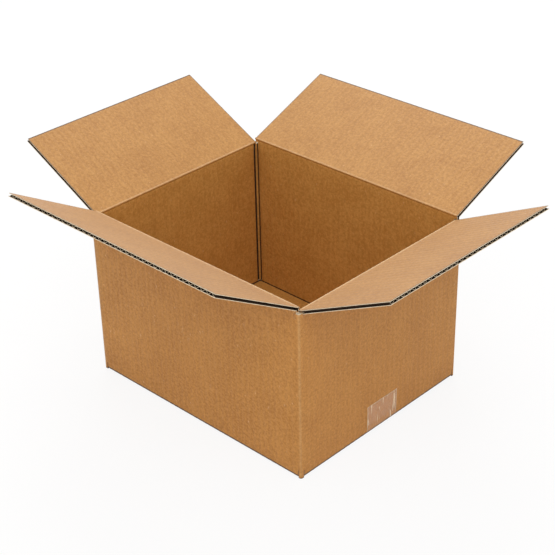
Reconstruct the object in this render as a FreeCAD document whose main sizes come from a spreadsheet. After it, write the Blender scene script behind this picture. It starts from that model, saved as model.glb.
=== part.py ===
import FreeCAD, Part
import Sketcher
import math
import os
import re

# Open shipping carton: one sheet of corrugated board, slotted, folded and glued
# into a tube, with its bottom flaps folded in and held by a strip of tape.
# The base rests on z = 0 with its centre at the origin. The long panels face
# -Y and +Y, the short panels face -X and +X.

doc = FreeCAD.newDocument("carton")

# Driving dimensions, in millimetres and degrees.
SIZES = [
    ("length", 305.0),          # outside, along X
    ("width", 254.0),           # outside, along Y
    ("height", 200.0),          # floor to the long panels' top fold
    ("board", 4.0),             # thickness of the corrugated board
    ("liner", 0.45),            # thickness of each flat facing
    ("medium", 0.5),            # thickness of the wavy sheet between the facings
    ("pitch", 7.8),             # from one flute to the next
    ("flute_tip", 1.4),         # width of a flute's narrow end
    ("flute_reach", 18.0),      # how deep the flutes stand open behind a cut edge
    ("flap_gap", 12.0),         # between the long flaps' edges when they are closed
    ("long_slot", 3.4),         # from a short panel's face to the long flap beside it
    ("short_slot", 4.3),        # from a long panel's face to the short flap beside it
    ("slot_drop", 1.2),         # how far a slot is cut below the short panels' fold
    ("lap_gap", 0.3),           # between boards that lie on each other
    ("hinge_gap", 0.15),        # from a fold's line to the faces that turn about it
    ("crush", 1.6),             # thickness left in the board at a fold
    ("crush_reach", 5.0),       # width of the crushed band on each side of a fold
    ("fold_round", 2.4),        # outside radius of the folded corners
    ("rib", 3.4),               # legs of the rib that a fold raises inside a corner
    ("sill", 1.4),              # from the floor to the short panels' bottom fold
    ("tab_width", 36.0),        # glue tab, along the front panel
    ("tab_board", 3.0),         # glue tab's thickness once it is pressed on
    ("tab_end", 14.0),          # from the folds to the glue tab's ends
    ("tab_taper", 9.0),         # how far the glue tab's ends slant
    ("seam", 1.2),              # width of the open seam beside the glued corner
    ("seam_depth", 2.2),        # depth of that seam
    ("front_lean", 59.5),       # the flaps' lean outwards, from upright
    ("back_lean", 68.0),
    ("right_lean", 63.5),
    ("left_lean", 63.0),
    ("tape_width", 48.0),       # sealing tape, across the bottom seam
    ("tape_leg", 35.0),         # how high the tape's ends run up the short panels
    ("tape_film", 0.1),         # thickness of the tape with its glue
]
ALIASES = {alias for alias, value in SIZES}

sheet = doc.addObject("Spreadsheet::Sheet", "Sizes")
for row, (alias, value) in enumerate(SIZES, start=1):
    sheet.set("A%d" % row, alias)
    sheet.set("B%d" % row, str(value))
    sheet.setAlias("B%d" % row, alias)
doc.recompute()


def on_sheet(text):
    """An expression with each alias in it pointed at its cell."""
    def cell(match):
        word = match.group()
        return "Sizes." + word if word in ALIASES else word
    return re.sub("[a-z_]+", cell, text)


def value_of(text):
    return float(sheet.evalExpression(on_sheet(text)))


def minus(text):
    return "0 - (%s)" % text


def plane(body, role):
    for feature in body.Origin.OriginFeatures:
        if feature.Role == role:
            return feature
    raise ValueError(role)


def new_body(name):
    body = doc.addObject("PartDesign::Body", name)
    body.Label = name
    return body


def arc_between(start, end, radius, turn):
    """The arc from start to end, with turn 1 where it runs anticlockwise."""
    chord = end - start
    rise = math.sqrt(max(radius ** 2 - (chord.Length / 2) ** 2, 0.0))
    across = FreeCAD.Vector(-chord.y, chord.x, 0).normalize()
    centre = (start + end) * 0.5 + across * rise * turn
    first, last = (start, end) if turn > 0 else (end, start)
    angles = [math.atan2(place.y - centre.y, place.x - centre.x) for place in (first, last)]
    circle = Part.Circle(centre, FreeCAD.Vector(0, 0, 1), radius)
    return Part.ArcOfCircle(circle, angles[0], angles[1])


def outlines(body, name, role, shapes, offset=None):
    """A sketch of closed outlines. A corner is a pair of expressions. Where it
    also has a radius and a turn, the side that starts there is an arc. offset is
    the sketch's distance from the origin plane, along the plane's normal."""
    sketch = body.newObject("Sketcher::SketchObject", name)
    sketch.AttachmentSupport = [(plane(body, role), "")]
    sketch.MapMode = "FlatFace"
    if offset is not None:
        sketch.setExpression("AttachmentOffset.Base.z", on_sheet(offset))
    for corners in shapes:
        places = [FreeCAD.Vector(value_of(c[0]), value_of(c[1]), 0) for c in corners]
        first = sketch.GeometryCount
        count = len(corners)
        ends = []
        for index, corner in enumerate(corners):
            start, end = places[index], places[(index + 1) % count]
            if len(corner) == 2:
                sketch.addGeometry(Part.LineSegment(start, end), False)
                ends.append((1, 2))
                continue
            radius, turn = corner[2:]
            sketch.addGeometry(arc_between(start, end, value_of(radius), turn), False)
            ends.append((1, 2) if turn > 0 else (2, 1))
            bend = Sketcher.Constraint("Radius", first + index, value_of(radius))
            hold(sketch, bend, radius)
        for index in range(count):
            after = (index + 1) % count
            joint = Sketcher.Constraint(
                "Coincident", first + index, ends[index][1], first + after, ends[after][0])
            sketch.addConstraint(joint)
        for index, corner in enumerate(corners):
            for kind, text in (("DistanceX", corner[0]), ("DistanceY", corner[1])):
                place = Sketcher.Constraint(
                    kind, -1, 1, first + index, ends[index][0], value_of(text))
                hold(sketch, place, text)
    return sketch


def hold(sketch, constraint, text):
    """Add a constraint whose value follows an expression."""
    number = sketch.addConstraint(constraint)
    sketch.setExpression("Constraints[%d]" % number, on_sheet(text))


def pad(body, sketch, name, length, middle=False, turned=False):
    feature = body.newObject("PartDesign::Pad", name)
    feature.Profile = sketch
    if middle:
        feature.SideType = "Symmetric"
    feature.Reversed = turned
    feature.setExpression("Length", on_sheet(length))
    doc.recompute()


def pocket(body, sketch, name, length, middle=False, turned=False):
    """Cut a sketch out of the body, and make sure that it removes something."""
    before = body.Shape.Volume
    feature = body.newObject("PartDesign::Pocket", name)
    feature.Profile = sketch
    if middle:
        feature.SideType = "Symmetric"
    feature.Reversed = turned
    feature.setExpression("Length", on_sheet(length))
    doc.recompute()
    if body.Shape.Volume > before - 0.01:
        raise RuntimeError(name + " removed nothing")
    return feature


def open_flutes(body, name, role, axis, span, low, reach, offset=None):
    """Open the flutes along an edge of the board, above and below the wavy sheet
    in each pitch. low is the board's lower face, and the cuts run both ways from
    the sketch."""
    floor = "%s + liner" % low
    roof = "%s + board - liner" % low
    foot = "(pitch / 2 - medium)"
    tip = "(flute_tip / 2)"
    count = "(floor((%s) / pitch) - 1)" % span
    under = "(0 - pitch * %s / 2 + pitch / 4)" % count
    over = "(0 - pitch * %s / 2 + pitch * 3 / 4)" % count
    waves = [
        [
            ("%s - %s" % (under, foot), floor),
            ("%s + %s" % (under, foot), floor),
            ("%s + %s" % (under, tip), roof + " - medium"),
            ("%s - %s" % (under, tip), roof + " - medium"),
        ],
        [
            ("%s - %s" % (over, tip), floor + " + medium"),
            ("%s + %s" % (over, tip), floor + " + medium"),
            ("%s + %s" % (over, foot), roof),
            ("%s - %s" % (over, foot), roof),
        ],
    ]
    sketch = outlines(body, name + "_wave", role, waves, offset)
    cut = pocket(body, sketch, name + "_cut", reach, middle=True)
    before = body.Shape.Volume
    row = body.newObject("PartDesign::LinearPattern", name + "_row")
    row.Originals = [cut]
    row.Direction = (plane(body, axis), [""])
    row.Mode = "Spacing"
    row.setExpression("Offset", on_sheet("pitch"))
    row.setExpression("Occurrences", on_sheet(count))
    body.Tip = row
    doc.recompute()
    if body.Shape.Volume > before - 0.01:
        raise RuntimeError(name + " pattern removed nothing")


# Places that several pieces share. The short panels fold one board lower than
# the long ones, so that the long flaps close flat over the short flaps.
SHORT_HEIGHT = "(height - board - lap_gap)"
FLAP_DEPTH = "((width - flap_gap) / 2)"
LONG_SPAN = "(length - 2 * long_slot)"
SHORT_SPAN = "(width - 2 * short_slot)"
LOWER_TOP = "(tape_film + board)"
UPPER_FLOOR = "(tape_film + board + lap_gap)"
UPPER_TOP = "(tape_film + 2 * board + lap_gap)"
LIP = "(long_slot - lap_gap)"


def panel_top(face, fold, out):
    """The upper end of a panel in section, crushed towards its fold line. out
    turns a distance from the middle of the box into the sketch's coordinate."""
    return [
        (out(face), "%s - 2 * hinge_gap" % fold),
        (out(face + " + hinge_gap - crush"), "%s - hinge_gap - crush" % fold),
        (out(face + " - board"), "%s - crush_reach" % fold),
    ]


def carton_body():
    """The four panels, the corner folds between them, the glue tab inside the
    front left corner, and the bottom flaps: one folded sheet."""
    body = new_body("carton_body")
    sides = [(1, 1), (-1, 1), (-1, -1), (1, -1)]
    glued = (-1, -1)

    def in_plan(sx, sy, u, v):
        """A place u in from a short panel's face and v in from a long one's."""
        x = "length / 2 - (%s)" % u
        y = "width / 2 - (%s)" % v
        return (x if sx > 0 else minus(x), y if sy > 0 else minus(y))

    # The tube of panels, short of its ends.
    outside = []
    for sx, sy in sides:
        if (sx, sy) == glued:
            outside.append(in_plan(sx, sy, "0", "0"))
            continue
        fold = [in_plan(sx, sy, "0", "fold_round"), in_plan(sx, sy, "fold_round", "0")]
        if sx != sy:
            fold.reverse()
        outside += [fold[0] + ("fold_round", 1), fold[1]]
    inside = [in_plan(sx, sy, "board", "board") for sx, sy in sides]
    plan = outlines(body, "tube_plan", "XY_Plane", [outside, inside], UPPER_TOP)
    pad(body, plan, "tube", "%s - crush_reach - board - %s" % (SHORT_HEIGHT, UPPER_TOP))

    # The corner folds run from slot to slot.
    corners = []
    for sx, sy in sides:
        corner = [
            in_plan(sx, sy, "fold_round", "0"),
            in_plan(sx, sy, "short_slot", "0"),
            in_plan(sx, sy, "short_slot", "short_slot"),
            in_plan(sx, sy, "0", "short_slot"),
            in_plan(sx, sy, "0", "fold_round") + ("fold_round", sx * sy),
        ]
        if (sx, sy) == glued:
            corner = [in_plan(sx, sy, "0", "0")] + corner[1:4]
        corners.append(corner)
    plan = outlines(body, "corner_plan", "XY_Plane", corners, "sill")
    pad(body, plan, "corner_folds", "%s - slot_drop - sill" % SHORT_HEIGHT)

    # The ribs that the corner folds raise inside the box.
    ribs = []
    for sx, sy in sides:
        ribs.append([
            in_plan(sx, sy, "board / 2", "board / 2"),
            in_plan(sx, sy, "board + rib", "board / 2"),
            in_plan(sx, sy, "board + rib", "board"),
            in_plan(sx, sy, "board", "board + rib"),
            in_plan(sx, sy, "board / 2", "board + rib"),
        ])
    plan = outlines(body, "rib_plan", "XY_Plane", ribs, LOWER_TOP)
    pad(body, plan, "ribs", "%s - board - slot_drop - %s" % (SHORT_HEIGHT, LOWER_TOP))

    # The long panels, each with its bottom flap folded in under the box.
    profiles = []
    for side in (1, -1):
        def out(text):
            return text if side > 0 else minus(text)
        face = "width / 2"
        profiles.append(panel_top(face, "height", out) + [
            (out(face + " - board"), LOWER_TOP),
            (out(face + " - " + FLAP_DEPTH), LOWER_TOP),
            (out(face + " - " + FLAP_DEPTH), "tape_film"),
            (out(face + " - fold_round"), "tape_film", "fold_round", side),
            (out(face), "tape_film + fold_round"),
        ])
    section = outlines(body, "long_section", "YZ_Plane", profiles)
    pad(body, section, "long_panels", LONG_SPAN, middle=True)

    # The short panels. Their flaps lie on the long flaps, and their bottom fold
    # bulges down past the long flaps' ends.
    profiles = []
    for side in (1, -1):
        def out(text):
            return text if side > 0 else minus(text)
        face = "length / 2"
        profiles.append(panel_top(face, SHORT_HEIGHT, out) + [
            (out(face + " - board"), UPPER_TOP),
            (out(face + " - " + FLAP_DEPTH), UPPER_TOP),
            (out(face + " - " + FLAP_DEPTH), UPPER_FLOOR),
            (out(face + " - " + LIP), UPPER_FLOOR),
            (out(face + " - " + LIP), "sill"),
            (out(face + " - fold_round"), "sill", "fold_round", side),
            (out(face), "sill + fold_round"),
        ])
    section = outlines(body, "short_section", "XZ_Plane", profiles)
    pad(body, section, "short_panels", SHORT_SPAN, middle=True)

    # The glue tab goes on from the left panel and lies inside the front panel.
    root = "board / 2 - length / 2"
    tip = "board + tab_width - length / 2"
    low = UPPER_TOP + " + tab_end"
    high = SHORT_HEIGHT + " - board - tab_end"
    tab = [
        (root, low),
        (tip, low + " + tab_taper"),
        (tip, high + " - tab_taper"),
        (root, high),
    ]
    section = outlines(body, "tab_side", "XZ_Plane", [tab], "width / 2 - board / 2")
    pad(body, section, "glue_tab", "board / 2 + tab_board", turned=True)

    # The glued corner shows the front panel's cut edge beside an open seam.
    seam = [
        in_plan(-1, -1, "0 - board", "board"),
        in_plan(-1, -1, "seam_depth", "board"),
        in_plan(-1, -1, "seam_depth", "board + seam"),
        in_plan(-1, -1, "0 - board", "board + seam"),
    ]
    plan = outlines(body, "seam_plan", "XY_Plane", [seam])
    pocket(body, plan, "glued_seam", "height", turned=True)

    # The bottom flaps' edges show their open flutes to the inside of the box.
    open_flutes(body, "upper_flutes", "YZ_Plane", "Y_Axis", SHORT_SPAN, UPPER_FLOOR,
                "length - 2 * %s + 2 * flute_reach" % FLAP_DEPTH)
    open_flutes(body, "lower_flutes", "XZ_Plane", "X_Axis", LONG_SPAN, "tape_film",
                "flap_gap + 2 * flute_reach")
    return body


def top_flap(name, yaw, span, lean, x, y, fold):
    """A top flap, made flat: X along its fold, Y away from the fold line and Z
    from its outer face to its inner face. Then it is stood on its fold line."""
    body = new_body(name)
    profile = [
        ("2 * hinge_gap", "hinge_gap"),
        (FLAP_DEPTH, "hinge_gap"),
        (FLAP_DEPTH, "board + hinge_gap"),
        ("crush_reach", "board + hinge_gap"),
        ("crush + hinge_gap", "crush"),
    ]
    section = outlines(body, name + "_section", "YZ_Plane", [profile])
    pad(body, section, name + "_board", span, middle=True)
    open_flutes(body, name + "_flutes", "XZ_Plane", "X_Axis", span, "hinge_gap",
                "2 * flute_reach", minus(FLAP_DEPTH))
    stand = "create(<<placement>>; create(<<vector>>; %s; %s; %s); "
    stand += "create(<<rotation>>; %s; 0; 90 - %s))"
    body.setExpression("Placement", on_sheet(stand % (x, y, fold, yaw, lean)))
    return body


def sealing_tape():
    """The strip of tape across the bottom seam, with its ends up both sides."""
    body = new_body("sealing_tape")
    half = "length / 2"
    skin = "(long_slot + tape_film)"
    film = [
        (minus(half + " - long_slot"), "0"),
        (half + " - long_slot", "0", skin, 1),
        (half + " + tape_film", skin),
        (half + " + tape_film", "tape_leg"),
        (half, "tape_leg"),
        (half, skin, "long_slot", -1),
        (half + " - long_slot", "tape_film"),
        (minus(half + " - long_slot"), "tape_film", "long_slot", -1),
        (minus(half), skin),
        (minus(half), "tape_leg"),
        (minus(half + " + tape_film"), "tape_leg"),
        (minus(half + " + tape_film"), skin, skin, 1),
    ]
    section = outlines(body, "tape_section", "XZ_Plane", [film])
    pad(body, section, "tape_strip", "tape_width", middle=True)
    return body


def check(body):
    for item in doc.Objects:
        if "Invalid" in item.State or "Error" in item.State:
            raise RuntimeError("%s: %s" % (item.Name, item.State))
    if body.Shape.isNull() or not body.Shape.isValid():
        raise RuntimeError(body.Label + " has no sound shape")
    print(body.Label, len(body.Shape.Solids), round(body.Shape.Volume), body.Shape.BoundBox)


FACE_X = "length / 2 + hinge_gap"
FACE_Y = "width / 2 + hinge_gap"
pieces = [
    carton_body(),
    top_flap("front_flap", "180", LONG_SPAN, "front_lean", "0", minus(FACE_Y), "height"),
    top_flap("back_flap", "0", LONG_SPAN, "back_lean", "0", FACE_Y, "height"),
    top_flap("right_flap", "-90", SHORT_SPAN, "right_lean", FACE_X, "0", SHORT_HEIGHT),
    top_flap("left_flap", "90", SHORT_SPAN, "left_lean", minus(FACE_X), "0", SHORT_HEIGHT),
    sealing_tape(),
]
doc.recompute()
os.makedirs("parts", exist_ok=True)
for piece in pieces:
    check(piece)
    piece.Shape.exportStep("parts/%s.step" % piece.Label)
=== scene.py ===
from math import cos, exp, pi, radians, sin, tan, tau

import bmesh
import bpy
from mathutils import Matrix, Vector
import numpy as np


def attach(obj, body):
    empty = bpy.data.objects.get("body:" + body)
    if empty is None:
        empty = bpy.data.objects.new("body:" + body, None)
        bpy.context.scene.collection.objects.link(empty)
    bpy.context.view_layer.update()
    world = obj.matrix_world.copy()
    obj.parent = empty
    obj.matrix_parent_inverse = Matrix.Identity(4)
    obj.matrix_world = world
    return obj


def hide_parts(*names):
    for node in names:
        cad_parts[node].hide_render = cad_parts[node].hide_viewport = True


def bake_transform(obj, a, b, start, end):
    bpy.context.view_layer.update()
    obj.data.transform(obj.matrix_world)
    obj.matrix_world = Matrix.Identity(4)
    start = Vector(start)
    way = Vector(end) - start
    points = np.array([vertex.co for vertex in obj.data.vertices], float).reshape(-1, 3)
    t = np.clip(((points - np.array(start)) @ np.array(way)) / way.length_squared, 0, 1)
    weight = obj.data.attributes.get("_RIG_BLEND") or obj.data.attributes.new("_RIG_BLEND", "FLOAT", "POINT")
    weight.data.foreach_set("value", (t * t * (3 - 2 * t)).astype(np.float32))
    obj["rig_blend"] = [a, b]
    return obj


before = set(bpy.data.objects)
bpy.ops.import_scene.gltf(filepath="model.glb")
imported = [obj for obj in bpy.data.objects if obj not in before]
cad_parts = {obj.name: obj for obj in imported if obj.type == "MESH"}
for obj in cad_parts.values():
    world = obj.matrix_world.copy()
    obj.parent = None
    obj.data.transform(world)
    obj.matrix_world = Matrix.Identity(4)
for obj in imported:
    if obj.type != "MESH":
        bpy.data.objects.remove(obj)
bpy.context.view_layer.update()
scene = bpy.context.scene
MM = 0.001


# The board. Corrugated kraft board, 4 mm thick: two liners of brown paper with
# a fluted paper glued between them. The flutes run up the panels and out along
# the flaps, and their lines show faintly through the liners.
BOARD, LINER, PITCH, FLUTE_PAPER = 4.0, 0.6, 7.8, 0.42
OUTSIDE, INSIDE_LIT_COPY, CUT, SHADED_FLUTING, FLAP_INSIDE_DARKER_COPY = range(5)


class Wire:
    """An output of a shader node. Sums written with it add Math nodes."""

    def __init__(self, nodes, socket):
        self.nodes, self.socket = nodes, socket

    def math(self, operation, *others):
        values = dict(enumerate((self, *others)))
        return self.nodes.node("Math", {"operation": operation}, values)

    def __add__(self, other):
        return self.math("ADD", other)

    def __sub__(self, other):
        return self.math("SUBTRACT", other)

    def __rsub__(self, other):
        return self.math("MULTIPLY_ADD", -1, other)

    def __mul__(self, other):
        return self.math("MULTIPLY", other)

    __radd__, __rmul__ = __add__, __mul__

    def between(self, low, high):
        """0 where the value is low, 1 where it is high, and eased between them."""
        settings = {"interpolation_type": "SMOOTHSTEP"}
        return self.nodes.node("MapRange", settings, {0: self, 1: low, 2: high})


class Nodes:
    """The nodes of a material or of the world."""

    def __init__(self, tree):
        self.tree = tree

    def set(self, socket, value):
        if isinstance(value, Wire):
            self.tree.links.new(value.socket, socket)
        else:
            socket.default_value = value

    def node(self, kind, settings=None, values=None, out=0):
        made = self.tree.nodes.new("ShaderNode" + kind)
        for key, value in (settings or {}).items():
            setattr(made, key, value)
        for key, value in (values or {}).items():
            self.set(made.inputs[key], value)
        return Wire(self, made.outputs[out])


class Finish(Nodes):
    """A material with one main shader."""

    def __init__(self, name, **constants):
        self.material = bpy.data.materials.new(name)
        self.material.use_nodes = True
        super().__init__(self.material.node_tree)
        self.shader = self.tree.nodes["Principled BSDF"]
        self.feed(**constants)

    def feed(self, **values):
        """Sets the shader's sockets, with _ for a space in their names."""
        for name, value in values.items():
            self.set(self.shader.inputs[name.replace("_", " ")], value)

    def attribute(self, name):
        return self.node("Attribute", {"attribute_name": name}, out="Fac")

    def place(self, scale=(1, 1, 1)):
        """The place on the object, in metres, stretched along each axis."""
        spot = self.node("TexCoord", out="Object")
        return self.node("Mapping", {}, {"Vector": spot, "Scale": scale})

    def grain(self, vector, scale, detail=3, roughness=0.5):
        values = {"Vector": vector, "Scale": scale, "Detail": detail, "Roughness": roughness}
        return self.node("TexNoise", {}, values, "Fac")

    def mix(self, share, first, second):
        values = {0: share, 6: first, 7: second}
        return self.node("Mix", {"data_type": "RGBA"}, values, 2)

    def bump(self, height, distance, under=None):
        values = {"Height": height, "Distance": distance}
        if under:
            values["Normal"] = under
        return self.node("Bump", {}, values)


def liner_paper(name, dark, light, seed, sheen):
    """Kraft paper on fluting: short fibres, a cloudy formation and faint lines
    along the flutes. It is scuffed pale where it is folded, and on the creases
    that pale band is partly a painted highlight. Where its mark is below zero it
    is painted near black, as painted shade along cut edges, at the foot and in
    inner folds. Its standing fibres give it a sheen when it is seen along its face."""
    made = Finish(name, IOR=1.35, Sheen_Weight=sheen, Sheen_Roughness=0.45)
    across, along = made.attribute("across"), made.attribute("along")
    flat = made.node("CombineXYZ", {}, {0: across, 1: along * 0.02, 2: seed})
    fibres = made.grain(made.place(), 900, 4, 0.7)
    tufts = made.grain(made.place(), 360, 3, 0.6)
    clouds = made.grain(made.place(), 26, 4, 0.6)
    lines = made.grain(flat, 380, 2, 0.6)
    wave = (across * (tau / (PITCH * MM))).math("COSINE")
    tone = (fibres - 0.5) * 1.0 + (tufts - 0.5) * 1.2 + (clouds - 0.5) * 0.45
    tone = tone * 1.3 + (lines - 0.5) * 0.3 + wave * 0.025 + 0.5
    colour = made.mix(tone.between(0.0, 1.0), dark, light)
    specks = made.grain(made.place(), 520, 2).between(0.7, 0.78)
    colour = made.mix(specks * 0.35, colour, [c * 0.62 for c in dark[:3]] + [1])
    flecks = made.grain(made.place((1, 1, 0.4)), 380, 2).between(0.69, 0.8)
    colour = made.mix(flecks * 0.4, colour, PALE_PAPER_AND_HIGHLIGHT)
    painted_and_worn = made.attribute("wear_and_painted_light")
    # Pale where the paper is scuffed; on the creases this pale band is partly a painted highlight.
    rub_and_painted_light = painted_and_worn.between(0, 1) * (tufts.between(0.25, 0.75) * 0.4 + 0.6)
    colour = made.mix(rub_and_painted_light, colour, PALE_PAPER_AND_HIGHLIGHT)
    # Painted shade: below zero the mark paints the paper near black.
    colour = made.mix((painted_and_worn * -1).between(0, 1) * 0.92, colour, PAINTED_SHADE)
    relief = made.bump(wave, 0.00004)
    relief = made.bump(tufts + fibres * 0.6 + clouds, 0.0001, relief)
    made.feed(Base_Color=colour, Roughness=fibres * 0.15 + 0.42, Normal=relief)
    return made.material


def cut_paper():
    """A cut edge of a liner: pale, with its fibres torn up."""
    made = Finish("cut_edge_of_liner", IOR=1.4)
    torn = made.grain(made.place(), 900, 5, 0.7)
    lumps = made.grain(made.place(), 240, 3, 0.6)
    tone = (torn * 0.6 + lumps * 0.4).between(0.3, 0.7)
    colour = made.mix(tone, [0.6, 0.44, 0.26, 1], [0.95, 0.82, 0.62, 1])
    relief = made.bump(torn + lumps, 0.0002)
    made.feed(Base_Color=colour, Roughness=torn * 0.2 + 0.75, Normal=relief)
    return made.material


def fluting_painted_shade():
    """The thin paper of the flutes, painted near black, far darker than the liners: painted shade for the
    inside of the flute channels.
    """
    made = Finish("fluting_painted_shade", IOR=1.4)
    tufts = made.grain(made.place(), 300, 4, 0.65)
    tone = tufts.between(0.3, 0.7)
    colour = made.mix(tone, [0.02, 0.011, 0.005, 1], [0.06, 0.03, 0.013, 1])
    relief = made.bump(tufts, 0.0001)
    made.feed(Base_Color=colour, Roughness=tufts * 0.15 + 0.78, Normal=relief)
    return made.material


# A pale paper colour, for flecks and scuffing and also a painted highlight on the creases, and a near-black
# colour that is painted shade.
PALE_PAPER_AND_HIGHLIGHT, PAINTED_SHADE = [0.8, 0.58, 0.34, 1], [0.06, 0.026, 0.012, 1]
# The inner paper is one paper in two copies that differ only to match the light: the copy for the walls and
# floor is painted lighter, as painted light inside the box, and the flaps' copy is darker and has a sheen.
BOARD_PAPERS = [
    liner_paper("outer_liner", [0.39, 0.157, 0.026, 1], [0.582, 0.27, 0.061, 1], 0.0, 0),
    liner_paper("inner_liner_lit_copy", [0.44, 0.202, 0.041, 1], [0.634, 0.33, 0.089, 1], 0.4, 0),
    cut_paper(),
    fluting_painted_shade(),
    liner_paper("flap_liner_darker_copy", [0.388, 0.168, 0.034, 1], [0.566, 0.286, 0.078, 1], 0.7, 0.2),
]


def new_board():
    """Board in the making. A vertex keeps its place on the flat sheet, across
    and along the flutes, and a mark: above zero where the paper is scuffed
    pale, partly a painted highlight on the creases, and below zero where it is
    painted dark as painted shade."""
    board = bmesh.new()
    for name in ("across", "along", "wear_and_painted_light"):
        board.verts.layers.float.new(name)
    return board


def layers_of(board):
    return [board.verts.layers.float[name] for name in ("across", "along", "wear_and_painted_light")]


def add_to(board, part):
    mesh = bpy.data.meshes.new("part")
    part.to_mesh(mesh)
    part.free()
    board.from_mesh(mesh)
    bpy.data.meshes.remove(mesh)


def only(kind, geometry):
    return [item for item in geometry if isinstance(item, kind)]


def ripple(place_across):
    """How far the liner stands out over the flutes, in metres."""
    return 0.04 * MM * cos(place_across * tau / (PITCH * MM))


def add_liner(board, section, half, side, paper, start, notch=None):
    """A liner swept across a panel from its section, which is a row of (out,
    up, along, mark) in mm, where the mark is scuffing above zero and painted
    shade below zero. side is 1 where its face is left of that row. Below the
    height notch, its ends are left to the folded corners."""
    part = new_board()
    across, along, wear_and_painted_light = layers_of(part)
    for out, up, length, rub_and_painted_light in section:
        vert = part.verts.new((-half * MM, out * MM, up * MM))
        vert[along], vert[wear_and_painted_light] = length * MM, rub_and_painted_light
    part.verts.ensure_lookup_table()
    for first, second in zip(part.verts[:-1], part.verts[1:]):
        part.edges.new((first, second))
    columns = round(2 * half / PITCH * 6)
    bmesh.ops.spin(
        part, geom=part.verts[:] + part.edges[:], axis=(0, 0, 1), cent=(0, 0, 0), angle=0,
        dvec=(2 * half * MM / columns, 0, 0), steps=columns)
    part.normal_update()
    (out, up, *_), (out_next, up_next, *_) = section[:2]
    facing = Vector((0, up - up_next, out_next - out)) * side
    part.edges.ensure_lookup_table()
    if part.edges[0].link_faces[0].normal.dot(facing) < 0:
        bmesh.ops.reverse_faces(part, faces=part.faces)
    part.normal_update()
    for vert in part.verts:
        vert[across] = vert.co.x + start * MM
        # Painted shade: the liner's cut side edges are painted dark.
        if abs(vert.co.x) > (half - 0.1) * MM:
            vert[wear_and_painted_light] = -1
        vert.co += vert.normal * ripple(vert[across])
    if notch is not None:
        reach = (half - 3 * 2 * half / columns) * MM
        centres = {face: face.calc_center_median() for face in part.faces}
        beside = [
            face for face, centre in centres.items()
            if abs(centre.x) > reach and centre.z < notch * MM]
        bmesh.ops.delete(part, geom=beside, context="FACES")
    face_side = set(part.faces)
    made = bmesh.ops.extrude_face_region(part, geom=part.faces[:], use_keep_orig=True)["geom"]
    for vert in only(bmesh.types.BMVert, made):
        vert.co -= vert.normal * LINER * MM
    back_side = set(only(bmesh.types.BMFace, made))
    for face in part.faces:
        rim = face not in face_side and face not in back_side
        # The liner's back, which faces the flute channels, takes the near-black fluting colour as painted
        # shade.
        face.material_index = CUT if rim else SHADED_FLUTING if face in back_side else paper
        face.smooth = not rim
    bmesh.ops.recalc_face_normals(part, faces=part.faces)
    add_to(board, part)


def add_fluting(board, start, end, normal, half, offset):
    """The fluted paper between the liners, straight from start to end, which
    are (out, up) in mm at the middle of the board."""
    part = new_board()
    across, _, _ = layers_of(part)
    columns = round(2 * half / PITCH * 10)
    bmesh.ops.create_grid(part, x_segments=columns, y_segments=1, size=0.5)
    swing = (BOARD - 2 * LINER) / 2 - 0.2
    for vert in part.verts:
        x = vert.co.x * 2 * half
        level = vert.co.y * FLUTE_PAPER + swing * cos((x + offset) * tau / PITCH)
        out, up = start[0] + normal[0] * level, start[1] + normal[1] * level
        vert.co = Vector((x, out, up)) * MM
        vert[across] = (x + offset) * MM
    run = (Vector((0, *end)) - Vector((0, *start))) * MM
    made = bmesh.ops.extrude_face_region(part, geom=part.faces[:], use_keep_orig=True)["geom"]
    bmesh.ops.translate(part, verts=only(bmesh.types.BMVert, made), vec=run)
    bmesh.ops.recalc_face_normals(part, faces=part.faces)
    part.normal_update()
    for face in part.faces:
        face.smooth = abs(face.normal.dot(run.normalized())) < 0.5
        # The fluting's long faces take the near-black colour as painted shade for the channels; its cut ends
        # stay pale.
        face.material_index = SHADED_FLUTING if face.smooth else CUT
    add_to(board, part)


def finished(name, board, papers, turn=0.0, shift=(0, 0, 0)):
    """The piece as an object, turned about the upright axis and moved, in mm."""
    place = Matrix.Translation(Vector(shift) * MM) @ Matrix.Rotation(radians(turn), 4, "Z")
    board.transform(place)
    for edge in board.edges:
        edge.smooth = len({face.smooth for face in edge.link_faces}) == 1
    mesh = bpy.data.meshes.new(name)
    board.to_mesh(mesh)
    board.free()
    for material in papers:
        mesh.materials.append(material)
    made = bpy.data.objects.new(name, mesh)
    scene.collection.objects.link(made)
    return made


# The tube. The blank's four panels stand round the box, folded at three
# corners and glued at the front left one. Inside each corner the pressed board
# stands up as a bead between two creases.
LONG, SHORT = 152.5, 127.0
TUBE_BOTTOM, TUBE_TOP = 9.5, 189.7
ROUND, BEAD = 2.4, 1.3
POST_BOTTOM, POST_RIM = 0.3, 2.4
LONG_FOLD, SHORT_FOLD = 200.0, 195.7
SLOT_X, SLOT_Y, POST_TOP = 149.1, 122.7, 196.4
WALL_X, WALL_Y = 145.2, 118.8
STARTS = {"back": 0, "right": 1000, "front": 2000, "left": 3000}


def chain(part, points, height):
    verts = [part.verts.new((x * MM, y * MM, height * MM)) for x, y in points]
    return [part.edges.new(pair) for pair in zip(verts[:-1], verts[1:])]


def arc(x, y, radius, first, last, count):
    turns = [radians(first + (last - first) * i / count) for i in range(count + 1)]
    return [(x + radius * cos(a), y + radius * sin(a)) for a in turns]


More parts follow.
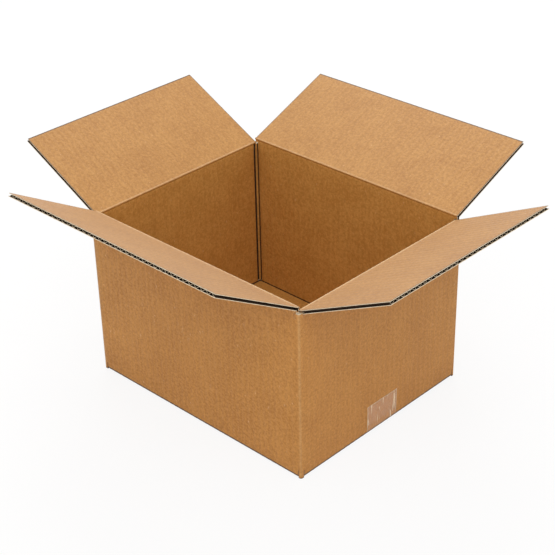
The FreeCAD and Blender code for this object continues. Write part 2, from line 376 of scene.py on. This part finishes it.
def corner(part, sx, sy, height):
    """A folded corner's outline at a height: its inner line with the bead, its
    outer line, and faces between them. The glued corner's outer line has the
    panel's cut edge and the groove beside it."""
    inner_x, inner_y = LONG - BOARD, SHORT - BOARD
    bead = [(WALL_X, inner_y), (WALL_X + 0.3, inner_y + 2.2), (inner_x - 1.2, inner_y + 1.6)]
    bead += arc(inner_x + 0.3, inner_y + 0.3, BEAD, 150, 300, 8)
    bead += [(inner_x + 1.6, inner_y - 1.2), (inner_x + 2.2, WALL_Y + 0.3), (inner_x, WALL_Y)]
    fold = [(WALL_X, SHORT), (LONG - ROUND - 1.2, SHORT)]
    fold += arc(LONG - ROUND, SHORT - ROUND, ROUND, 90, 0, 6)
    fold += [(LONG, SHORT - 6), (LONG, WALL_Y)]
    if (sx, sy) == (-1, -1):
        fold = [(WALL_X, SHORT), (LONG - 2, SHORT), (LONG, SHORT)]
        fold += [(LONG, inner_y), (LONG - 2, inner_y), (LONG - 2, inner_y - 1.1)]
        fold += [(LONG, inner_y - 1.1), (LONG, inner_y - 2.2), (LONG, WALL_Y)]
    edges = []
    for line in (bead, fold):
        edges += chain(part, [(sx * x, sy * y) for x, y in line], height)
    bmesh.ops.bridge_loops(part, edges=edges)


def swell(flat, half, z):
    """How far a panel stands out in its middle, in mm."""
    height = min(1, max(0, (z - TUBE_BOTTOM) / (TUBE_TOP - TUBE_BOTTOM)))
    return 0.6 * (1 - min(1, abs(flat) / half) ** 2) * sin(pi * height)


def raise_to(part, height, low):
    made = bmesh.ops.extrude_face_region(part, geom=part.faces[:], use_keep_orig=True)["geom"]
    verts = only(bmesh.types.BMVert, made)
    bmesh.ops.translate(part, verts=verts, vec=(0, 0, (height - low) * MM))


def dress(part):
    """Papers, places on the sheet, scuffing and painted shade, and bulge of upright board."""
    across, along, wear_and_painted_light = layers_of(part)
    bmesh.ops.recalc_face_normals(part, faces=part.faces)
    part.normal_update()
    for face in part.faces:
        x, y, _ = face.calc_center_median() / MM
        outer = abs(x) > LONG - 1 or abs(y) > SHORT - 1
        level = abs(face.normal.z) > 0.5
        seam = x < 3 - LONG and -SHORT < y < -(SHORT - BOARD - 1.2)
        crease = not outer and abs(x) > WALL_X + 0.1 and abs(y) > WALL_Y + 0.1
        inside_bead = abs(x) < LONG - BOARD + 1.2 and abs(y) < SHORT - BOARD + 1.2
        face.smooth = not level and not seam
        if level:
            face.material_index = CUT
        elif outer and not seam:
            face.material_index = OUTSIDE
        else:
            # The grooves beside the corner bead take the near-black fluting colour as painted shade.
            groove = crease and not inside_bead and not seam
            face.material_index = SHADED_FLUTING if groove else INSIDE_LIT_COPY
    for vert in part.verts:
        x, y, z = vert.co / MM
        on_long = abs(y) - SHORT > abs(x) - LONG
        panel = ("back" if y > 0 else "front") if on_long else ("right" if x > 0 else "left")
        flat = {"back": x, "front": -x, "right": -y, "left": y}[panel]
        vert[across] = (flat + STARTS[panel]) * MM
        vert[along] = (z - (LONG_FOLD if on_long else SHORT_FOLD)) * MM
        to_fold = (LONG - abs(x)) + (SHORT - abs(y))
        if abs(x) > LONG - 1 or abs(y) > SHORT - 1:
            vert[wear_and_painted_light] = 0.55 * max(0, 1 - to_fold / 3)
        elif to_fold < 2 * BOARD:
            vert[wear_and_painted_light] = 0.6
        # Painted shade: the foot of the corner posts is painted dark where they stand on the floor.
        if z < POST_RIM / 2:
            vert[wear_and_painted_light] = -1
        outward = Vector((0, y, 0) if on_long else (x, 0, 0)).normalized()
        vert.co += outward * swell(flat, LONG if on_long else SHORT, z) * MM
        if abs(x) < WALL_X - 1 or abs(y) < WALL_Y - 1:
            vert.co += vert.normal * ripple(vert[across])


def tube():
    board = new_board()
    for side in (-1, 1):
        for middle, width, depth in (
            ((0, side * (SHORT - BOARD / 2)), 2 * WALL_X, BOARD),
            ((side * (LONG - BOARD / 2), 0), BOARD, 2 * WALL_Y),
        ):
            longer = round(max(width, depth) / PITCH * 6)
            sizes = (longer, 1) if width > depth else (1, longer)
            place = Matrix.Translation(Vector((*middle, TUBE_BOTTOM)) * MM)
            bmesh.ops.create_grid(
                board, x_segments=sizes[0], y_segments=sizes[1], size=0.5,
                matrix=place @ Matrix.Diagonal((width * MM, depth * MM, 1, 1)))
    corners = [(sx, sy) for sx in (-1, 1) for sy in (-1, 1)]
    for sx, sy in corners:
        corner(board, sx, sy, TUBE_BOTTOM)
    bmesh.ops.remove_doubles(board, verts=board.verts, dist=0.01 * MM)
    raise_to(board, TUBE_TOP, TUBE_BOTTOM)
    for height in (14, 22, 40, 65, 95, 125, 150, 170, 182):
        geometry = [*board.verts, *board.edges, *board.faces]
        bmesh.ops.bisect_plane(
            board, geom=geometry, plane_co=(0, 0, height * MM), plane_no=(0, 0, 1))
    dress(board)
    for sx, sy in corners:
        upper = new_board()
        corner(upper, sx, sy, TUBE_TOP)
        raise_to(upper, POST_TOP, TUBE_TOP)
        dress(upper)
        add_to(board, upper)
        lower = new_board()
        outline = [(SLOT_X, SHORT)] + arc(LONG - ROUND, SHORT - ROUND, ROUND, 90, 0, 6)
        outline += [(LONG, SLOT_Y), (SLOT_X, SLOT_Y)]
        if (sx, sy) == (-1, -1):
            outline[1:8] = [(LONG, SHORT)]
        lower.faces.new([
            lower.verts.new((sx * x * MM, sy * y * MM, POST_BOTTOM * MM)) for x, y in outline])
        raise_to(lower, TUBE_BOTTOM, POST_BOTTOM)
        geometry = [*lower.verts, *lower.edges, *lower.faces]
        bmesh.ops.bisect_plane(
            lower, geom=geometry, plane_co=(0, 0, POST_RIM * MM), plane_no=(0, 0, 1))
        dress(lower)
        add_to(board, lower)
    return board


walls = finished("box_tube", tube(), BOARD_PAPERS)
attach(walls, "carton")
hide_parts("carton_body")


# The bottom flaps. The long panels' flaps fold in first to last outermost, and
# the short panels' flaps lie on them inside the box. Each is of one piece with
# its panel, bent on a scored line.
FLAP = 121.0
PANELS = {
    "back": (0, (0, SHORT, 0), SLOT_X, True),
    "front": (180, (0, -SHORT, 0), SLOT_X, True),
    "right": (-90, (LONG, 0, 0), SLOT_Y, False),
    "left": (90, (-LONG, 0, 0), SLOT_Y, False),
}
RUN = (12, 30, 55, 80, 100, 114, 119, FLAP)


def bottom_section(points, fold, outside):
    """Adds the place along the sheet, and the mark for scuffing and painted
    shade, to a row of (out, up). The board is painted dark, as painted shade,
    where it stands on the floor and deep in its inner fold."""
    section, length = [], points[0][1] - fold
    last = Vector(points[0])
    for point in points:
        length -= (Vector(point) - last).length
        last = Vector(point)
        out, up = point
        # Painted shade: the outer liner's bottom band and the inner liner deep in its fold are painted dark.
        in_painted_shade = up < 3.6 and out > -BOARD if outside else abs(out + BOARD) < 0.9
        section.append((out, up, length, -1 if in_painted_shade else 0))
    return section


for panel, (yaw, shift, half, is_long) in PANELS.items():
    board = new_board()
    fold = LONG_FOLD if is_long else SHORT_FOLD
    outer = [(0, TUBE_BOTTOM), (0, 3.8), (0, 3.5)]
    if is_long:
        floor = 0.1
        outer += arc(-3, 3.1, 3, 0, -90, 6) + [(-5, floor)]
        inner = [(-4, TUBE_BOTTOM), (-4, 7), (-3.8, 4.8), (-3.5, 4), (-4.3, 3.5), (-5.6, 4)]
    else:
        floor = 4.4
        outer += arc(-2.4, 3, 2.4, 0, -80, 6) + [(-2.9, 1.6), (-3.2, 3.6), (-4, floor)]
        inner = [(-4, TUBE_BOTTOM), (-3.8, 9), (-3.5, 8.2), (-4.3, 7.7), (-5.6, 8.3)]
    outer += [(-run, floor) for run in RUN]
    inner += [(-run, floor + BOARD) for run in (6.5, *RUN)]
    start = STARTS[panel]
    add_liner(board, bottom_section(outer, fold, True), half, 1, OUTSIDE, start)
    add_liner(board, bottom_section(inner, fold, False), half, -1, INSIDE_LIT_COPY, start)
    middle = floor + BOARD / 2
    add_fluting(board, (-7, middle), (0.6 - FLAP, middle), (0, 1), half - 0.3, start)
    bottom = finished("bottom_flap_" + panel, board, BOARD_PAPERS, yaw, shift)
    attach(bottom, "carton")
    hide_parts("carton_body")


# The top flaps. Each goes on from its panel over a scored line, bent out by
# hand and left standing, with its flutes open along the cut edge. The strip of
# panel under the line belongs to the flap, so that the fold is one surface.
LEANS = {"front": 59.5, "back": 68.0, "right": 63.5, "left": 63.0}
HINGE, CREASE, RIDGE, FLARE = 0.15, 0.9, 0.8, 0.12
NEAR_FOLD = (-4.5, -3.2, -2.4, -1.8, -1.2, -0.9, -0.6, -0.3, 0, 0.3, 0.6, 0.9, 1.2, 1.8, 2.6)
FLAP_ROWS = (4, 7, 12, 20, 32, 46, 60, 74, 88, 100, 110, 115.5, 118, 119.5, 120.4, FLAP)


def bent(along, depth, lean):
    """(out, up) of a place that far along a flap from its fold and that deep
    in it, where it is bent out by lean."""
    turn, level = radians(lean), depth + HINGE
    out = HINGE + along * sin(turn) - level * cos(turn)
    return (out, along * cos(turn) + level * sin(turn))


def tip_of(along):
    """1 at the cut edge and 0 from 2.5 mm behind it."""
    return max(0, 1 - (FLAP - along) / 2.5)


def edge_shade_at(tip):
    """How much the liner is painted dark towards the cut edge, as painted shade."""
    return max(0, min(1, 2.2 * tip - 0.7))


def outer_section(lean, low):
    """The outer liner's row, folded sharply on the hinge line."""
    section = []
    for along in (low, *NEAR_FOLD, *FLAP_ROWS):
        tip = tip_of(along)
        # Painted shade darkens the liner towards the cut edge.
        rub_and_painted_light = 0.9 * exp(-((along / 1.6) ** 2)) - edge_shade_at(tip)
        share = min(1, max(0, along / 2.4 + 0.5))
        turn = lean * share * share * (3 - 2 * share)
        section.append((*bent(along, FLARE * tip, turn), along, rub_and_painted_light))
    return section


def inner_section(lean, low, crease_rub_and_highlight):
    """The inner liner's row: up the panel, through the pressed score and over
    the crease, which is made pale, partly as scuffed paper and partly as a
    painted highlight, and out along the flap."""
    half_turn = tan(radians(lean) / 2)
    crease = (BOARD + HINGE) * half_turn
    section = []
    score = ((crease - low, 0), (4.2, 0), (3.4, 0.06), (2.9, 0.2), (2.4, 0.36), (2, 0.34))
    for below, dip in (*score, (1.6, 0.1), (1.2, -0.3), (0.9, -0.55)):
        section.append((dip - BOARD, crease - below, -crease - below, 0))
    middle = (CREASE - BOARD, crease - CREASE * half_turn)
    rise = Vector((-cos(radians(lean / 2)), sin(radians(lean / 2)))) * RIDGE
    for turned, point in enumerate(arc(*middle, CREASE, 180, 180 - lean, 4)):
        out, up = Vector(point) + rise
        section.append((out, up, (turned / 2 - 1) * CREASE * half_turn - crease, crease_rub_and_highlight))
    for beyond in (0.8, 1.1, 1.4, 1.8, 2.4, 3.6, *(row + crease for row in FLAP_ROWS)):
        along = beyond - crease
        tip = tip_of(along)
        lift = RIDGE * exp(-((beyond / 1.1) ** 4)) - FLARE * tip
        # Pale on the crease, partly scuffing and partly a painted highlight; painted shade towards the cut
        # edge.
        rub_and_painted_light = crease_rub_and_highlight * exp(-((beyond / 1.4) ** 2)) - edge_shade_at(tip)
        section.append((*bent(along, BOARD + lift, lean), along, rub_and_painted_light))
    return section


for panel, (yaw, shift, half, is_long) in PANELS.items():
    board = new_board()
    lean = LEANS[panel]
    fold = LONG_FOLD if is_long else SHORT_FOLD
    low = TUBE_TOP - fold
    start = STARTS[panel]
    notch = POST_TOP - fold
    add_liner(board, outer_section(lean, low), half, -1, OUTSIDE, start, notch)
    # The crease is made pale, partly as scuffing and partly as a painted highlight, more on the front and
    # right flaps.
    crease_rub_and_highlight = 0.9 if panel in ("front", "right") else 0.35
    add_liner(board, inner_section(lean, low, crease_rub_and_highlight), half, 1, FLAP_INSIDE_DARKER_COPY, start, notch)
    crease = (BOARD + HINGE) * tan(radians(lean) / 2) * MM
    # The strip below the crease takes the walls' lighter copy of the inner paper, so the two copies meet at
    # the crease.
    for face in board.faces:
        if face.material_index == FLAP_INSIDE_DARKER_COPY and face.calc_center_median().z < crease:
            face.material_index = INSIDE_LIT_COPY
    flute_ends = bent(2.5, BOARD / 2, lean), bent(FLAP - 1, BOARD / 2, lean)
    lift = -cos(radians(lean)), sin(radians(lean))
    add_fluting(board, *flute_ends, lift, half - 0.8, start)
    place = (shift[0], shift[1], fold)
    flap = finished("top_flap_" + panel, board, BOARD_PAPERS, yaw, place)
    outward = Matrix.Rotation(radians(yaw), 3, "Z") @ Vector((0, 1, 0))
    hinge = (Vector(place) + outward * HINGE) * MM
    up = Vector((0, 0, 1))
    reach = 2.5 * MM
    out_turn = radians(lean)
    end = hinge + (outward * sin(out_turn) + up * cos(out_turn)) * reach
    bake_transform(flap, "carton", panel + "_flap", start=hinge - up * reach, end=end)
    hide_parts(panel + "_flap")


# The glue tab. The left panel goes on as a tab, pressed thin and glued inside
# the front panel, with its ends cut at a slant.
part = new_board()
tab_low, tab_high, tab_slant = 22.4, 177.7, 9.0
bmesh.ops.create_cube(part, size=1)
for vert in part.verts:
    x, y, z = vert.co
    slant = tab_slant if x > 0 else 0
    height = tab_high - slant if z > 0 else tab_low + slant
    vert.co = Vector((-112.5 if x > 0 else -149.5, -120 if y > 0 else -123.5, height)) * MM
bmesh.ops.bevel(
    part, geom=part.edges[:], offset=0.5 * MM, segments=2, profile=0.5, affect="EDGES",
    material=-1)
across, along, wear_and_painted_light = layers_of(part)
for vert in part.verts:
    vert[across], vert[along] = vert.co.x + 4, vert.co.z
for face in part.faces:
    face.material_index = INSIDE_LIT_COPY if face.normal.y > 0.7 else CUT
    face.smooth = True
tab = finished("glue_tab", part, BOARD_PAPERS)
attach(tab, "carton")
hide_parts("carton_body")


# The sealing tape. One strip of clear packing film, pressed along the bottom
# seam and up both short sides, with fine wrinkles where it was smoothed down.
TAPE_HALF, TAPE_LEG, FILM = 24.0, 35.0, 0.1


def clear_film():
    made = Finish("clear_tape_film", IOR=1.4, Coat_Roughness=0.3)
    spot = made.node("TexCoord", out="Object")
    sides = made.node("SeparateXYZ", {}, {0: spot}, "Y").math("ABSOLUTE")
    top = made.node("SeparateXYZ", {}, {0: spot}, "Z")
    rim = sides.between(0.0226, 0.0232).math("MAXIMUM", top.between(0.0338, 0.0343))
    creases = made.grain(made.place((1, 11, 1)), 34, 2, 0.5)
    haze = made.grain(made.place((1, 6, 1)), 60, 3, 0.6)
    streak = creases.between(0.61, 0.66)
    pale = (streak + haze.between(0.4, 0.7) * 0.08).math("MAXIMUM", rim * 0.6)
    colour = made.mix(pale, [0.9, 0.6, 0.4, 1], [1.0, 0.84, 0.6, 1])
    relief = made.bump(creases + haze * 0.3, 0.0003)
    made.feed(
        Base_Color=colour, Roughness=haze * 0.2 + 0.25, Alpha=pale * 0.5 + 0.2,
        Coat_Weight=pale * 0.2 + 0.05, Normal=relief)
    return made.material


def tape():
    part = bmesh.new()
    bend = SLOT_X
    path = [(LONG + FILM / 2, z) for z in (TAPE_LEG, 30, 25, 20, 15, 12, 8)]
    path += arc(bend, LONG - bend + FILM, LONG - bend + FILM / 2, 0, -90, 8)
    path += [(x, FILM / 2) for x in (130, 90, 45)]
    path += [(-x, z) for x, z in reversed(path)]
    for x, z in path:
        part.verts.new((x * MM, -TAPE_HALF * MM, z * MM))
    part.verts.ensure_lookup_table()
    for pair in zip(part.verts[:-1], part.verts[1:]):
        part.edges.new(pair)
    bmesh.ops.spin(
        part, geom=part.verts[:] + part.edges[:], axis=(0, 0, 1), cent=(0, 0, 0), angle=0,
        dvec=(0, 2 * TAPE_HALF * MM / 24, 0), steps=24)
    for vert in part.verts:
        x, y, z = vert.co / MM
        if z > TUBE_BOTTOM:
            vert.co.x += (swell(y, SHORT, z) + 0.1) * MM * (1 if x > 0 else -1)
    bmesh.ops.recalc_face_normals(part, faces=part.faces)
    bmesh.ops.solidify(part, geom=part.faces[:], thickness=FILM * MM)
    bmesh.ops.recalc_face_normals(part, faces=part.faces)
    for face in part.faces:
        face.smooth = True
    return part


strip = finished("tape_strip", tape(), [clear_film()])
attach(strip, "carton")
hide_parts("sealing_tape")


# The photographer's table. A white floor that keeps only the box's soft
# shadow, a soft lamp above each end of the view, and a camera high off the
# near corner.
def seen(nodes):
    """1 for the rays that look at the backdrop, and 0 for those that light."""
    rays = [
        nodes.node("LightPath", out="Is " + kind + " Ray")
        for kind in ("Camera", "Glossy", "Transmission")]
    return rays[0].math("MAXIMUM", rays[1]).math("MAXIMUM", rays[2])


def backdrop():
    made = Finish("white_floor", Base_Color=[0.95, 0.95, 0.95, 1], Roughness=0.9)
    white = made.node("Emission", {}, {"Color": [1, 1, 1, 1], "Strength": 1})
    plain = Wire(made, made.shader.outputs[0])
    blend = made.node("MixShader", {}, {0: seen(made) * 0.87, 1: plain, 2: white})
    made.set(made.tree.nodes["Material Output"].inputs[0], blend)
    return made.material


part = bmesh.new()
bmesh.ops.create_grid(part, x_segments=8, y_segments=8, size=6)
bmesh.ops.translate(part, verts=part.verts, vec=(0, 0, -0.0002))
floor_sheet = finished("floor", part, [backdrop()])

world = bpy.data.worlds.new("studio")
scene.world = world
world.use_nodes = True
sky = Nodes(world.node_tree)
soft = sky.node("Background", {}, {"Color": [1, 1, 1, 1], "Strength": 0.73})
white = sky.node("Background", {}, {"Color": [1, 1, 1, 1], "Strength": 1})
around = sky.node("MixShader", {}, {0: seen(sky), 1: soft, 2: white})
sky.set(sky.tree.nodes["World Output"].inputs[0], around)


def lamp(name, place, size, power):
    light = bpy.data.lights.new(name, "AREA")
    light.shape, light.size, light.energy = "DISK", size, power
    made = bpy.data.objects.new(name, light)
    made.location = place
    made.rotation_euler = (-Vector(place)).to_track_quat("-Z", "Y").to_euler()
    scene.collection.objects.link(made)


lamp("key_lamp", (0.85, -0.85, 1.6), 1.2, 9.5)
lamp("back_lamp", (-0.85, 0.85, 1.6), 1.2, 13.5)

azimuth, elevation, roll = radians(44.266), radians(30.314), radians(-1.342)
back = Vector((sin(azimuth) * cos(elevation), -cos(azimuth) * cos(elevation), sin(elevation)))
level = Vector((cos(azimuth), sin(azimuth), 0))
upright = back.cross(level)
right = level * cos(roll) + upright * sin(roll)
top = upright * cos(roll) - level * sin(roll)
lens = bpy.data.cameras.new("camera")
lens.sensor_width, lens.lens = 36, 91.61
camera = bpy.data.objects.new("camera", lens)
camera.matrix_world = Matrix.Translation((0.932330, -0.954752, 0.903710)) @ Matrix(
    (right, top, back)).transposed().to_4x4()
scene.collection.objects.link(camera)
scene.camera = camera
scene.view_settings.view_transform = "Standard"
